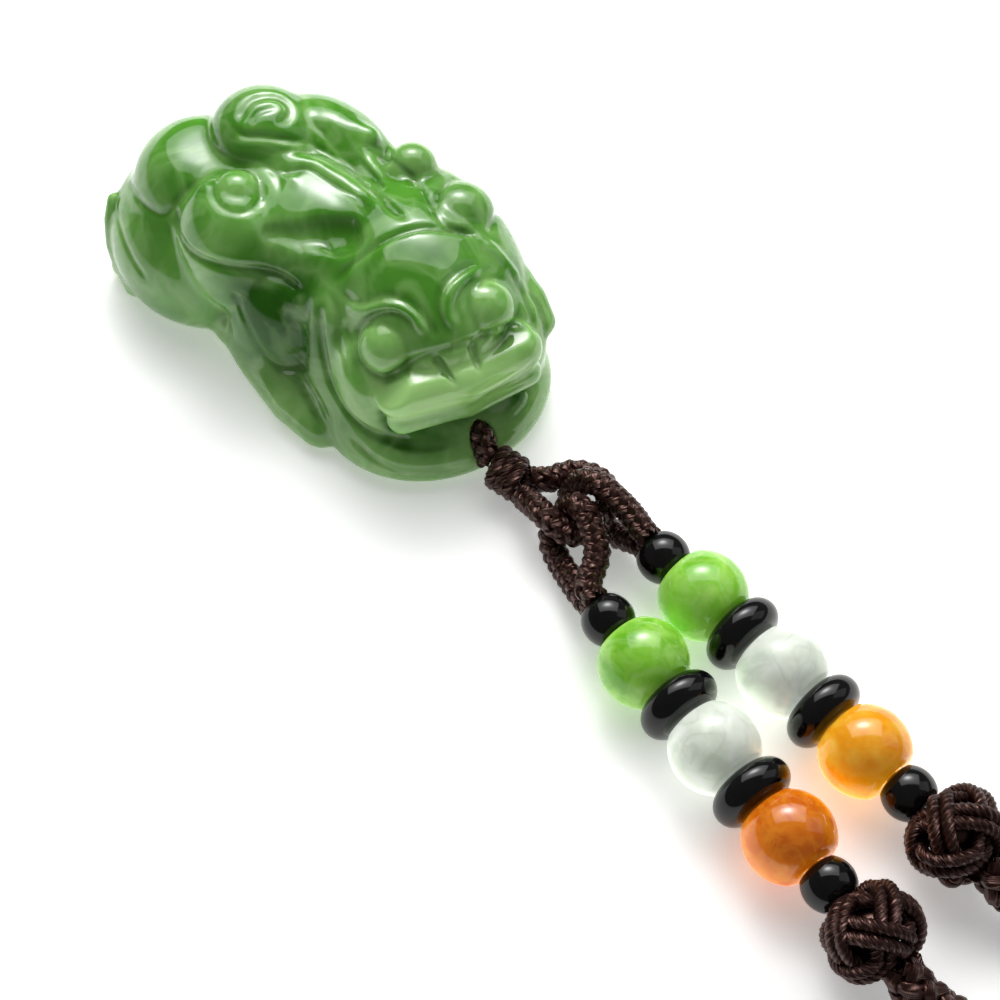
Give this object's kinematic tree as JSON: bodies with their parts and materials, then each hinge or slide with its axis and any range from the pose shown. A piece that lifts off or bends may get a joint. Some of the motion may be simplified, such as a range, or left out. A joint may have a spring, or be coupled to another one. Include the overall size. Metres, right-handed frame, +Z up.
{
  "type": "carved jade pixiu pendant on a beaded neck cord",
  "caption": "Green jade pixiu pendant on a brown braided neck cord with two strands of stone beads, button knots and interlinked cord loops.",
  "frame": {"origin": "middle of the carved beast's flat underside, on the surface that it lies on", "axes": "+X from the beast's rump to its jaw and on along the cord, +Z up from the surface"},
  "size_m": [0.32, 0.1271, 0.0243],
  "materials": {
    "jade": "polished translucent green jade, clouded, paler at the lips",
    "cord": "braided dark brown polyester cord with a low sheen",
    "black_stone": "polished black stone",
    "green_stone": "polished translucent bright green stone",
    "white_stone": "polished milky stone with faint green veins",
    "light_amber": "polished honey yellow stone",
    "dark_amber": "polished reddish orange stone"
  },
  "bodies": {
    "root": {"jade_pixiu": "jade", "mouth_cord": "cord", "wrap_knot": "cord", "pendant_loop": "cord", "upper_loop": "cord", "lower_loop": "cord", "upper_thread": "cord", "upper_first_black": "black_stone", "upper_green": "green_stone", "upper_first_disc": "black_stone", "upper_white": "white_stone", "upper_second_disc": "black_stone", "upper_amber": "light_amber", "upper_last_black": "black_stone", "upper_button": "cord", "lower_thread": "cord", "lower_first_black": "black_stone", "lower_green": "green_stone", "lower_first_disc": "black_stone", "lower_white": "white_stone", "lower_second_disc": "black_stone", "lower_amber": "dark_amber", "lower_last_black": "black_stone", "lower_button": "cord", "neck_braid": "cord"}
  },
  "joints": []
}
